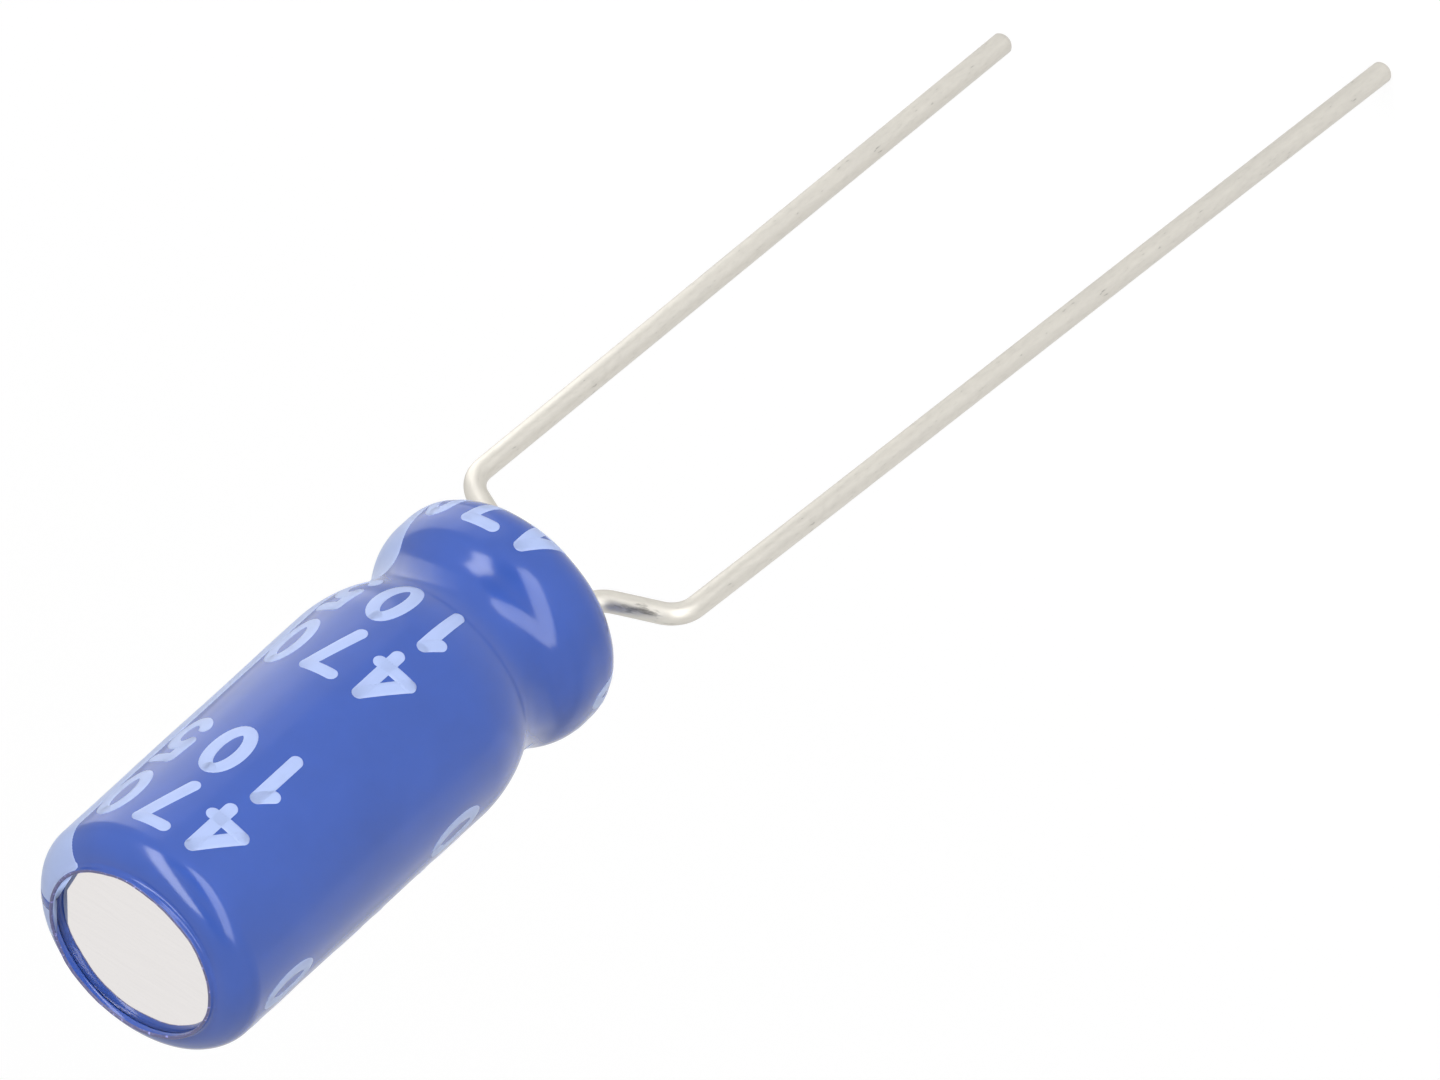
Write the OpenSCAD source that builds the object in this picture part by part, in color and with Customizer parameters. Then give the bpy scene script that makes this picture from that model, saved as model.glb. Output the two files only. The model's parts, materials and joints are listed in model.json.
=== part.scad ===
// Radial aluminium electrolytic capacitor with formed leads.
// The body's axis is Z, the closed end is up and the leads run down.
// Z = 0 is the seat plane under the sleeve's rim. The cathode lies on +X, the anode on -X.

/* [Can] */
// Outside diameter of the aluminium can
can_d = 5.0; // [4.6:0.1:6.3]
// Height of the can from its curled rim to its closed end
can_h = 11.95; // [10:0.05:16]
// Wall thickness of the can
can_wall = 0.22; // [0.16:0.01:0.3]
// Outside radius where the wall turns into the closed end
corner_r = 0.55; // [0.4:0.05:0.7]
// Outside radius of the curled rim
curl_r = 0.65; // [0.55:0.05:0.7]
// Angle through which the rim is curled, in degrees
curl_angle = 120; // [100:1:135]

/* [Bead] */
// Height of the bead's deepest point above the seat plane
bead_z = 2.36; // [2.2:0.02:2.6]
// Depth of the bead in the can
bead_depth = 0.4; // [0.3:0.02:0.5]
// Radius at the bottom of the bead
bead_valley_r = 1.3; // [1:0.1:1.5]
// Radius that leads from the body into the bead
bead_body_r = 3.0; // [2:0.1:4]
// Radius that leads from the bead out to the collar
bead_collar_r = 1.2; // [1:0.05:1.3]

/* [Sleeve] */
// Thickness of the shrunk film
film_t = 0.1; // [0.06:0.01:0.14]
// Angle through which the film follows the closed end's corner, in degrees
lip_angle = 51; // [45:1:75]
// Length of the free lip beyond that corner
lip_l = 0.54; // [0.15:0.01:0.65]
// Angle through which the film is drawn under the curled rim, in degrees
rim_wrap_angle = 100; // [80:1:110]

/* [Seal] */
// Height of the rubber seal
seal_h = 3.0; // [2.5:0.1:4]
// Length of the narrow neck round each wire at the seal's outer face
neck_l = 0.45; // [0.3:0.05:0.8]
// Gap left round pieces that are squeezed or pushed together
fit_gap = 0.01; // [0.005:0.005:0.02]

/* [Winding] */
// Gap between the wrapped winding and the can's wall
winding_gap = 0.17; // [0.1:0.01:0.3]
// Gap between the winding and the can's closed end
end_gap = 0.1; // [0.02:0.02:0.4]
// Diameter of the hollow core that the winding mandrel leaves
core_d = 0.8; // [0.5:0.1:1]
// Thickness of the fixing tape
tape_t = 0.06; // [0.04:0.01:0.1]
// Bare winding left beyond each edge of the tape
tape_margin = 0.9; // [0.4:0.1:1.5]

/* [Tabs] */
// Diameter of the tab's round boss in the seal
boss_d = 0.9; // [0.7:0.05:1]
// Length over which the boss is pressed flat
shoulder_l = 0.6; // [0.5:0.05:1]
// Width of the flat paddle
paddle_w = 1.4; // [1:0.1:1.8]
// Thickness of the flat paddle
paddle_t = 0.2; // [0.15:0.01:0.25]
// Length of paddle inside the winding
paddle_l = 4.2; // [2:0.1:5]

/* [Leads] */
// Diameter of the tinned wire
lead_d = 0.45; // [0.4:0.01:0.55]
// Spacing of the wires where they leave the seal
inner_pitch = 2.0; // [1.9:0.05:2.1]
// Spacing of the formed legs at their upper ends
lead_pitch = 5.2; // [4.5:0.1:6.5]
// Straight wire below the seat plane before the first bend
exit_drop = 0.42; // [0.1:0.02:1]
// Radius of the bends, at the middle of the wire
bend_r = 0.7; // [0.45:0.05:0.8]
// Slant of the wire between its two bends, in degrees
kink_angle = 64; // [45:1:70]
// Length of the cathode's straight leg
cathode_leg = 15.65; // [5:0.05:25]
// Length of the anode's straight leg
anode_leg = 20.15; // [5:0.05:30]
// Lean of the cathode's leg towards the anode, in degrees
cathode_lean_angle = 2.7; // [0:0.1:6]
// Lean of the anode's leg away from the cathode, in degrees
anode_lean_angle = 4.4; // [0:0.1:6]
// Chamfer left on the cut end of each leg
tip_chamfer = 0.06; // [0.02:0.01:0.1]

/* [Hidden] */
$fn = 96;
can_r = can_d / 2;
can_top = film_t + can_h;
// Centres of the rim's curl and of the closed end's corner, seen in section
curl_at = [can_r - curl_r, film_t + curl_r];
corner_at = [can_r - corner_r, can_top - corner_r];
// Centres of the bead's three arcs: each blend touches the valley from outside
valley_at = [can_r - bead_depth + bead_valley_r, bead_z];
body_reach = blend_reach(bead_body_r);
collar_reach = blend_reach(bead_collar_r);
body_blend_at = [can_r - bead_body_r, bead_z + body_reach];
collar_blend_at = [can_r - bead_collar_r, bead_z - collar_reach];
// The valley is this much wider than its tangent circle, so that it crosses its blends and leaves no sliver
seam = 0.0002;
// Past this radius nothing is left of the can
outside = can_r + 2 * bead_valley_r;
seal_face_z = film_t + can_wall + fit_gap;
seal_top_z = seal_face_z + seal_h;
weld_z = seal_face_z + neck_l;
winding_z = seal_top_z + shoulder_l;
winding_top_z = can_top - can_wall - end_gap;
tape_r = can_r - can_wall - winding_gap;
winding_r = tape_r - tape_t;
lead_r = lead_d / 2;
boss_r = boss_d / 2;
tab_x = inner_pitch / 2;
leg_shift = (lead_pitch - inner_pitch) / 2;

// Distance along the axis from the bead's valley to the centre of a blend of radius r
function blend_reach(r) = sqrt(pow(bead_valley_r + r, 2) - pow(bead_valley_r + r - bead_depth, 2));

// Length of the slanted wire that carries a leg of the given lean out to its pitch
function slant_l(lean_angle) =
    (leg_shift - bend_r * (1 + cos(lean_angle) - 2 * cos(kink_angle))) / sin(kink_angle);

// Part of a ring between two radii and two angles less than half a turn apart
module ring_arc(inner, outer, from, to) {
    reach = 2 * outer;
    middle = (from + to) / 2;
    intersection() {
        difference() {
            circle(outer);
            circle(inner);
        }
        polygon([[0, 0], for (a = [from, middle, to]) reach * [cos(a), sin(a)]]);
    }
}

// Section of the bead's hollow, for a wall surface that lies inset below the can's outside
module bead_section(inset) {
    difference() {
        polygon([
            body_blend_at, valley_at, collar_blend_at,
            [outside, collar_blend_at.y], [outside, body_blend_at.y],
        ]);
        translate(body_blend_at) circle(bead_body_r - inset);
        translate(collar_blend_at) circle(bead_collar_r - inset);
    }
    translate(valley_at) circle(bead_valley_r + seam + inset);
}

// Section of all that lies within the wall surface, between the curl and the corner
module barrel_section(inset) {
    difference() {
        translate([0, curl_at.y]) square([can_r - inset, corner_at.y - curl_at.y]);
        bead_section(inset);
    }
}

module sleeve() {
    color([0.30, 0.40, 0.73])
    rotate_extrude() {
        difference() {
            barrel_section(-film_t);
            barrel_section(0);
        }
        translate(curl_at) ring_arc(curl_r, curl_r + film_t, -rim_wrap_angle, 0);
        // Two arcs of one ring overlap, so that both ends of the corner meet their neighbours edge to edge
        translate(corner_at) {
            ring_arc(corner_r, corner_r + film_t, 0, lip_angle / 2);
            rotate(lip_angle) {
                ring_arc(corner_r, corner_r + film_t, -0.75 * lip_angle, 0);
                translate([corner_r, 0]) square([film_t, lip_l]);
            }
        }
    }
}

module can() {
    color([0.86, 0.86, 0.87])
    rotate_extrude() {
        difference() {
            barrel_section(0);
            barrel_section(can_wall);
        }
        translate(curl_at) ring_arc(curl_r - can_wall, curl_r, -curl_angle, 0);
        translate(corner_at) ring_arc(corner_r - can_wall, corner_r, 0, 90);
        translate([0, can_top - can_wall]) square([corner_at.x, can_wall]);
    }
}

module seal_section() {
    hold = can_wall + fit_gap;
    intersection() {
        barrel_section(hold);
        square([can_r, seal_top_z]);
    }
    difference() {
        union() {
            translate([0, seal_face_z]) square([curl_at.x, curl_at.y - seal_face_z]);
            translate(curl_at) circle(curl_r - hold);
        }
        translate(curl_at)
            ring_arc(curl_r - hold, curl_r + fit_gap, -curl_angle - atan(fit_gap / curl_r), 0);
    }
}

module end_seal() {
    color([0.16, 0.16, 0.17])
    difference() {
        rotate_extrude() seal_section();
        for (side = [-1, 1]) translate([side * tab_x, 0, 0]) {
            cylinder(h = seal_top_z, r = lead_r + fit_gap);
            translate([0, 0, weld_z]) cylinder(h = seal_h, r = boss_r + fit_gap);
        }
    }
}

module winding() {
    slot = [paddle_t + 2 * fit_gap, paddle_w + 2 * fit_gap, paddle_l + fit_gap];
    color([0.72, 0.68, 0.60])
    translate([0, 0, winding_z])
    difference() {
        cylinder(h = winding_top_z - winding_z, r = winding_r);
        translate([0, 0, -end_gap]) cylinder(h = can_h, d = core_d);
        for (side = [-1, 1])
            translate([side * tab_x - slot.x / 2, -slot.y / 2, -fit_gap])
                cube([slot.x, slot.y, slot.z + fit_gap]);
    }
}

module fixing_tape() {
    color([0.85, 0.78, 0.55])
    translate([0, 0, winding_z + tape_margin])
    linear_extrude(winding_top_z - winding_z - 2 * tape_margin)
    difference() {
        circle(tape_r);
        circle(winding_r);
    }
}

// Round boss through the seal, pressed flat into a paddle that lies in the winding
module tab() {
    translate([tab_x, 0, 0]) {
        translate([0, 0, weld_z]) cylinder(h = seal_top_z - weld_z, r = boss_r);
        translate([0, 0, seal_top_z])
        intersection() {
            cylinder(h = shoulder_l, r = boss_r);
            rotate([90, 0, 0])
            linear_extrude(boss_d, center = true)
            polygon([
                [-boss_r, 0], [boss_r, 0],
                [paddle_t / 2, shoulder_l], [-paddle_t / 2, shoulder_l],
            ]);
        }
        translate([-paddle_t / 2, -paddle_w / 2, winding_z])
            cube([paddle_t, paddle_w, paddle_l]);
    }
}

module cathode_tab() {
    color([0.80, 0.80, 0.82]) tab();
}

module anode_tab() {
    color([0.80, 0.80, 0.82]) mirror([1, 0, 0]) tab();
}

// Straight wire downwards, with the children placed at its lower end
module straight_wire(l) {
    translate([0, 0, -l]) {
        cylinder(h = l, r = lead_r);
        children();
    }
}

// Bend that turns a downward wire by an angle towards +X, or towards -X below zero
module bent_wire(angle) {
    side = sign(angle);
    mirror([side < 0 ? 1 : 0, 0, 0])
        translate([bend_r, 0, 0])
        rotate([90, 0, 0])
        rotate([0, 0, 180])
        rotate_extrude(angle = abs(angle))
        translate([bend_r, 0]) circle(lead_r);
    translate([side * bend_r, 0, 0])
        rotate([0, -angle, 0])
        translate([-side * bend_r, 0, 0])
        children();
}

// Sheared end of a leg
module leg(l) {
    straight_wire(l - tip_chamfer)
        translate([0, 0, -tip_chamfer])
        cylinder(h = tip_chamfer, r1 = lead_r - tip_chamfer, r2 = lead_r);
}

// Formed lead on +X: down from the weld, out to its pitch and down again with an outward lean
module formed_lead(lean_angle, l) {
    translate([tab_x, 0, weld_z])
        straight_wire(weld_z + exit_drop)
        bent_wire(kink_angle)
        straight_wire(slant_l(lean_angle))
        bent_wire(lean_angle - kink_angle)
        leg(l);
}

module cathode_lead() {
    color([0.84, 0.82, 0.78]) formed_lead(-cathode_lean_angle, cathode_leg);
}

module anode_lead() {
    color([0.84, 0.82, 0.78]) mirror([1, 0, 0]) formed_lead(anode_lean_angle, anode_leg);
}

sleeve();
can();
end_seal();
winding();
fixing_tape();
anode_tab();
cathode_tab();
anode_lead();
cathode_lead();
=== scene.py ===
"""Dresses a radial electrolytic capacitor: shrunk and printed film, bright can, rubber seal, tinned wires.

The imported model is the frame. Every piece stands in that frame, in metres, with the can's axis on Z,
the closed end up, the cathode on +X and the front of the print on -Y.
"""
import json
import math

import bpy
import numpy as np
from bpy.props import FloatProperty, FloatVectorProperty, PointerProperty, StringProperty
from mathutils import Matrix, Vector


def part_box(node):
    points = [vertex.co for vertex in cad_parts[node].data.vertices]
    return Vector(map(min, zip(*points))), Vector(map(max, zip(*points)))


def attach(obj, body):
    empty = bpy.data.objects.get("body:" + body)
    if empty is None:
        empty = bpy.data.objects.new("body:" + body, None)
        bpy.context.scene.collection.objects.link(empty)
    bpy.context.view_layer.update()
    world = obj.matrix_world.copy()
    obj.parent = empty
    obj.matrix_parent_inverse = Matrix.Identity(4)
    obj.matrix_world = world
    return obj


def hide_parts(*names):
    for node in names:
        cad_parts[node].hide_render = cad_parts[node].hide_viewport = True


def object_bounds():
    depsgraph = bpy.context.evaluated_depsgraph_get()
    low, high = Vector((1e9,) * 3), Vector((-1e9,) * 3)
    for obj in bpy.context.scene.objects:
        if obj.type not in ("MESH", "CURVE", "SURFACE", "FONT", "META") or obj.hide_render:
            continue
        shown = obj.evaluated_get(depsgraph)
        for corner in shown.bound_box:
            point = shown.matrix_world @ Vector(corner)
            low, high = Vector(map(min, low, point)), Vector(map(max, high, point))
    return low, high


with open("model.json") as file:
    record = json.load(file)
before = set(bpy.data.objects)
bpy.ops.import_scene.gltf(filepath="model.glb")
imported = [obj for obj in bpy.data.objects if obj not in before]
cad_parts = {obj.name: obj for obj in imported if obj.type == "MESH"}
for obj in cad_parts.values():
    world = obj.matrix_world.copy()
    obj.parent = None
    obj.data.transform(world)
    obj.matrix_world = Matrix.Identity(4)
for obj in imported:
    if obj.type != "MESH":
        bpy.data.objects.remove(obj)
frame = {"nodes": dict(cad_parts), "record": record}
CAD_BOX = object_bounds()

bl_info = {
    "name": "Radial capacitor dressing",
    "version": (1, 0, 0),
    "blender": (4, 5, 0),
    "location": "View3D > Sidebar > Capacitor",
    "description": "Builds the film, print, wires, finishes and studio of a radial capacitor",
    "category": "Add Mesh",
}

MM = 0.001
WHITE = (1, 1, 1, 1)
BODY = "root"
SLEEVE_LOW, SLEEVE_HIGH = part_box("sleeve")
CAN_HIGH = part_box("can")[1]
MOUNTS = {mount["name"]: mount for mount in frame["record"]["mounts"]}
WELD_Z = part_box("cathode_lead")[1].z
# The photograph's frame, in pixels, and the pixel that shows the middle of the can's axis
PHOTO_W, PHOTO_H = 1440, 1080
AXIS_PIXEL = (326.9, 774.9)


def length(name, description, default):
    """A size in metres."""
    return FloatProperty(name=name, description=description, default=default, precision=6, unit="LENGTH")


def angle(name, description, degrees):
    """An angle, written in degrees and kept in radians."""
    return FloatProperty(name=name, description=description, default=math.radians(degrees), subtype="ANGLE")


def colour(name, description, default):
    """A linear colour."""
    return FloatVectorProperty(
        name=name, description=description, default=default, size=3, min=0, max=1, subtype="COLOR"
    )


def strength(name, description, default):
    """A brightness, or a share of one."""
    return FloatProperty(name=name, description=description, default=default, min=0)


def row_text(name, default):
    """The figures of a printed row."""
    return StringProperty(name=name, description="Figures of the row", default=default)


class SleeveSizes(bpy.types.PropertyGroup):
    """Sizes of the shrunk film and of the can that it follows."""

    radius: length("Outside radius", "Radius of the film over the can's straight wall", SLEEVE_HIGH.x)
    seat_z: length("Seat height", "Lowest point of the film, under the rim", SLEEVE_LOW.z)
    can_top: length("Closed end", "Height of the can's closed end", CAN_HIGH.z)
    thickness: length("Film", "Thickness of the film", 0.1 * MM)
    curl_r: length("Curl radius", "Radius of the can's curled rim", 0.65 * MM)
    corner_r: length("Corner radius", "Radius of the corner at the closed end", 0.55 * MM)
    bead_z: length("Bead height", "Height of the bead's deepest point", 2.36 * MM)
    bead_depth: length("Bead depth", "Depth of the bead in the can", 0.4 * MM)
    valley_r: length("Bead radius", "Radius at the bottom of the bead", 1.3 * MM)
    body_blend_r: length("Body blend", "Radius that leads from the body into the bead", 3.0 * MM)
    collar_blend_r: length("Collar blend", "Radius that leads from the bead to the collar", 1.2 * MM)
    rim_wrap: angle("Rim wrap", "Angle that the film is drawn round the rim", 100)
    lip_angle: angle("Lip angle", "Angle that the film follows round the corner", 82)
    lip_stand: angle("Lip stand", "Angle by which the free lip then stands up off the corner", 74)
    crease_r: length("Crease", "Outside radius of the crease where the lip starts to stand up", 0.08 * MM)
    lip_length: length("Lip", "Length of the free lip beyond its crease", 0.06 * MM)
    lip_edge: length("Lip edge", "Thickness of the film at the cut edge of its lip", 0.07 * MM)
    lip_taper: length("Lip taper", "Length over which the lip thins to its cut edge", 0.25 * MM)
    lip_wave: length("Lip wave", "How far the cut edge of the lip wanders", 0.008 * MM)
    ripple: length("Ripple", "Height of the faint waves that shrinking leaves", 0.0022 * MM)
    dome_r: length("Dome radius", "Radius of the closed end's slightly raised middle", 1.948 * MM)
    dome_h: length("Dome height", "Height of the closed end's raised middle", 0.045 * MM)
    dome_edge: length("Dome edge", "Radius of the rounding round the raised middle", 0.005 * MM)


class PrintSizes(bpy.types.PropertyGroup):
    """Sizes and places of what is printed on the film."""

    glyph_h: length("Figure height", "Height of a figure between the middles of its strokes", 1.21 * MM)
    glyph_w: length("Figure width", "Width of a figure between the middles of its strokes", 0.66 * MM)
    pitch: length("Figure pitch", "Distance from one figure to the next", 1.2 * MM)
    stroke: length("Stroke", "Width of a printed stroke", 0.29 * MM)
    ink: length("Ink", "Thickness of the ink", 0.004 * MM)
    repeat: length("Repeat", "Distance along the film at which the print starts again", 5.2 * MM)
    front_angle: angle("Front start", "Where the front rows start, round from +X", -110.8)
    front_drop: length("Front row drop", "Distance from the first front row to the second", 1.8 * MM)
    front_upper: row_text("Upper front row", "470")
    front_lower: row_text("Lower front row", "105")
    side_angle: angle("Side start", "Where the side rows start, round from +X", 112.2)
    side_drop: length("Side row drop", "Distance from the first side row to the second", 2.6 * MM)
    side_upper: row_text("Upper side row", "250")
    side_lower: row_text("Lower side row", "42")
    top_row: length("Top row", "Distance of the first row's middle below the lip's edge", 2.02 * MM)
    stripe_start: angle("Stripe start", "Where the polarity stripe starts, round from +X", -42)
    stripe_stop: angle("Stripe stop", "Where the polarity stripe stops, round from +X", 30)
    bar_angle: angle("Bars", "Where the bars lie in the stripe, round from +X", 8)
    bar_l: length("Bar length", "Length of a bar along the can", 1.7 * MM)
    bar_w: length("Bar width", "Width of a bar", 0.3 * MM)


class LeadSizes(bpy.types.PropertyGroup):
    """Sizes of the formed wires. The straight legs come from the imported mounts."""

    inner_pitch: length("Inner pitch", "Spacing of the wires where they leave the seal", 2.0 * MM)
    exit_drop: length("Exit", "Straight wire below the seat before the first bend", 0.42 * MM)
    bend_r: length("Bend radius", "Radius of the bends at the middle of the wire", 0.7 * MM)
    kink: angle("Kink", "Slant of the wire between its two bends", 64)
    anode_bow: length("Anode bow", "How far the long wire bows outwards at the top of its leg", 0.06 * MM)
    # The mark placed by the next three sizes is a painted dark reflection on the long wire, where a formed
    # flat would mirror something dark.
    dark_reflection_l: length("Scuff", "Length of the mark that bending leaves on the long wire", 0.45 * MM)
    dark_reflection_at: length("Scuff place", "Distance of that mark beyond the wire's first bend", 0.55 * MM)
    dark_reflection_turn: angle("Scuff turn", "Where that mark lies round the wire", 222)
    chamfer: length("Chamfer", "Chamfer on the cut end", 0.06 * MM)


class FinishColours(bpy.types.PropertyGroup):
    """Colours of the finishes."""

    film: colour("Film", "Blue film", (0.031, 0.090, 0.418))
    cut: colour("Cut edge", "Cut edge of the film", (0.12, 0.12, 0.26))
    ink: colour("Ink", "Pale print on the film", (0.40, 0.50, 0.81))
    aluminium: colour("Aluminium", "Bare can", (0.80, 0.775, 0.765))
    tin: colour("Tin", "Plated wire", (0.658, 0.632, 0.578))
    rubber: colour("Rubber", "End seal", (0.022, 0.022, 0.024))
    paper: colour("Paper", "Edges of the winding", (0.50, 0.45, 0.36))
    tape: colour("Tape", "Fixing tape round the winding", (0.62, 0.46, 0.20))


class StageSettings(bpy.types.PropertyGroup):
    """Camera and light."""

    azimuth: angle("Azimuth", "Where the camera stands, round from -Y", -25.906)
    elevation: angle("Elevation", "Height of the camera above the horizon", 34.269)
    roll: angle("Roll", "Turn of the camera about its line of sight", -132.402)
    view_w: length("View width", "Width of what the photograph's frame takes in", 27.663 * MM)
    axis_mid: length("Axis middle", "Height of the axis point that is placed in the frame", 6.142 * MM)
    lens: FloatProperty(
        name="Lens", description="Focal length in millimetres", default=1250, min=1, max=5000
    )
    key: strength("Key", "Brightness of the key softbox", 4.0)
    left_strip: strength("Left strip", "Brightness of the strip at the left", 5.3)
    right_strip: strength("Right strip", "Brightness of the strip at the right", 3.2)
    low_card: strength("Low card", "Brightness of a card low beside the part", 0.4)
    ambient: strength("Ambient", "Brightness with which the surroundings light the part", 0.38)
    white: strength("White", "Brightness that the floor shows", 1.08)
    far_floor: strength("Far floor", "Share of that white that reflections show of far floor", 0.88)
    room: strength("Room", "Brightness that reflections show of the room behind the camera", 0.4)
    shadow: strength("Shadow", "Share of the shadow that the floor keeps", 0.2)


def arc_points(centre, radius, start, stop, steps=96):
    """Points of an arc in section: the centre plus the radius times the cosine and sine of the angle."""
    turn = np.linspace(start, stop, steps)
    return np.stack((centre[0] + radius * np.cos(turn), centre[1] + radius * np.sin(turn)), axis=1)


class Film:
    """The film's outside as a surface of two parameters: angle round Z and length v along its section.

    The section is a chain of arcs joined by their tangents: rim, collar, valley, body, corner and crease,
    then the straight lip. A point at lift h lies h outside that surface, along the section's normal.
    """

    STEP = 0.005 * MM
    # How far the section runs on straight past its two ends
    MARGIN = 0.2 * MM
    CREASE_STEPS = 24
    # Faint waves: how many, the seed of their draws, the turns that all stay under, radians per mm along
    WAVES, SEED, TURNS, RUNS = 26, 11, 12, (0.2, 2.2)
    # Waves of the lip's edge: how many go round, their phase and their part
    LIP_WAVES = ((3, 0.6, 1.0), (7, 2.1, 0.7), (13, 4.0, 0.5))
    # Finer waves that come and go: how many go round, how many swells, the swells' phase, their part
    LIP_FRAY = (41, 5, 1.0, 0.25)

    def __init__(self, sizes):
        """Sample the section at even steps of v, straight past its ends, with normals from gradients."""
        self.sizes = sizes
        chain = self.section()
        gaps = np.hypot(*np.diff(chain, axis=0).T)
        along = np.concatenate(([0.0], np.cumsum(gaps)))
        self.length = along[-1]
        self.v = np.arange(-self.MARGIN, self.length + self.MARGIN, self.STEP)
        inside = np.clip(self.v, 0, self.length)
        r, z = (np.interp(inside, along, chain[:, k]) for k in (0, 1))
        first, last = (chain[1] - chain[0]) / gaps[0], (chain[-1] - chain[-2]) / gaps[-1]
        past = np.maximum(self.v - self.length, 0)
        before = np.minimum(self.v, 0)
        self.r = r + past * last[0] + before * first[0]
        self.z = z + past * last[1] + before * first[1]
        dr, dz = np.gradient(self.r, self.STEP), np.gradient(self.z, self.STEP)
        size = np.hypot(dr, dz)
        self.normal_r, self.normal_z = dz / size, -dr / size

    def section(self):
        """The chain of points (r, z) from the edge under the rim to the edge of the lip."""
        s = self.sizes
        can_r = s.radius - s.thickness
        curl = (can_r - s.curl_r, s.seat_z + s.thickness + s.curl_r)
        corner = (can_r - s.corner_r, s.can_top - s.corner_r)
        valley = (can_r - s.bead_depth + s.valley_r, s.bead_z)
        collar = (can_r - s.collar_blend_r, s.bead_z - self.reach(s.collar_blend_r))
        body = (can_r - s.body_blend_r, s.bead_z + self.reach(s.body_blend_r))
        up = math.atan2(valley[1] - collar[1], valley[0] - collar[0])
        down = math.atan2(valley[1] - body[1], valley[0] - body[0])
        fold = np.array(corner) + (s.corner_r + s.thickness + s.crease_r) * np.array(
            (math.cos(s.lip_angle), math.sin(s.lip_angle))
        )
        slope = s.lip_angle - s.lip_stand
        crease = arc_points(fold, s.crease_r, s.lip_angle + math.pi, slope + math.pi, self.CREASE_STEPS)
        lip = np.array((-math.sin(slope), math.cos(slope))) * s.lip_length
        return np.concatenate((
            arc_points(curl, s.curl_r + s.thickness, -s.rim_wrap, 0),
            arc_points(collar, s.collar_blend_r + s.thickness, 0, up),
            arc_points(valley, s.valley_r - s.thickness, up + math.pi, down + math.pi)[1:],
            arc_points(body, s.body_blend_r + s.thickness, down, 0)[1:],
            arc_points(corner, s.corner_r + s.thickness, 0, s.lip_angle),
            crease[1:],
            crease[-1:] + lip,
        ))

    def reach(self, r):
        """Distance along the axis from the bead's valley to the centre of a blend of radius r.

        It is a side of the right triangle whose long side joins the two centres.
        """
        s = self.sizes
        joined = s.valley_r + r
        return math.sqrt(joined**2 - (joined - s.bead_depth) ** 2)

    def waves(self, theta, v):
        """Faint waves: a sum of sines round and along the film, with fixed draws of phase and number."""
        draw = np.random.default_rng(self.SEED)
        turns = draw.integers(0, self.TURNS, self.WAVES)
        runs = draw.uniform(*self.RUNS, self.WAVES) / MM
        phases = draw.uniform(0, 2 * math.pi, self.WAVES)
        swing = np.sin(theta[..., None] * turns + v[..., None] * runs + phases)
        return self.sizes.ripple * swing.sum(axis=-1) / math.sqrt(self.WAVES / 2)

    def lip_shift(self, theta, v):
        """How far the lip's edge wanders: slow and quick sines round it, fading out at the shoulder."""
        s = self.sizes
        slow = sum(part * np.sin(turns * theta + phase) for turns, phase, part in self.LIP_WAVES)
        turns, swells, phase, part = self.LIP_FRAY
        quick = part * np.sin(turns * theta) * np.sin(swells * theta + phase)
        share = np.clip((v - self.length + s.lip_length) / s.lip_length, 0, 1)
        return s.lip_wave * (slow + quick) * share

    def at(self, theta, v, lift):
        """Points at angle theta, length v and height lift: the section there, turned about Z.

        The lip's wandering is added to v, and the waves to the lift, which runs along the normal.
        """
        theta, v, lift = np.broadcast_arrays(theta, v, lift)
        along = v + self.lip_shift(theta, v)
        out = lift + self.waves(theta, v)
        r = np.interp(along, self.v, self.r) + out * np.interp(along, self.v, self.normal_r)
        z = np.interp(along, self.v, self.z) + out * np.interp(along, self.v, self.normal_z)
        return np.stack((r * np.cos(theta), r * np.sin(theta), z), axis=-1)


def grid_faces(rows, columns, wrap_rows):
    """Quads of a grid whose columns close on themselves, and whose rows may: index sums on whole arrays."""
    i = np.arange(rows if wrap_rows else rows - 1)[:, None]
    j = np.arange(columns)[None, :]
    after_i, after_j = (i + 1) % rows, (j + 1) % columns
    corners = (i * columns + j, i * columns + after_j, after_i * columns + after_j, after_i * columns + j)
    return np.stack(corners, axis=-1).reshape(-1, 4)


def closed_skin(grid, wrap_rows=False):
    """Points and faces of a closed skin over a grid of rings. Open ends get a fan about the ring's middle.

    The sum of the corners' triple products tells whether the faces point inwards, and then they are turned.
    """
    rows, columns = grid.shape[:2]
    points = grid.reshape(-1, 3)
    quads = grid_faces(rows, columns, wrap_rows)
    fans = np.empty((0, 3), int)
    if not wrap_rows:
        middles = np.stack((grid[0].mean(axis=0), grid[-1].mean(axis=0)))
        hub = len(points)
        j = np.arange(columns)
        after = (j + 1) % columns
        last = (rows - 1) * columns
        low = np.stack((after, j, np.full(columns, hub)), axis=1)
        high = np.stack((last + j, last + after, np.full(columns, hub + 1)), axis=1)
        points = np.concatenate((points, middles))
        fans = np.concatenate((low, high))
    a, b, c, d = (points[quads[:, k]] for k in range(4))
    volume = (a * np.cross(b, c)).sum() + (a * np.cross(c, d)).sum()
    e, f, g = (points[fans[:, k]] for k in range(3))
    volume += (e * np.cross(f, g)).sum()
    if volume < 0:
        quads, fans = quads[:, ::-1], fans[:, ::-1]
    return points, quads, fans


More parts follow.
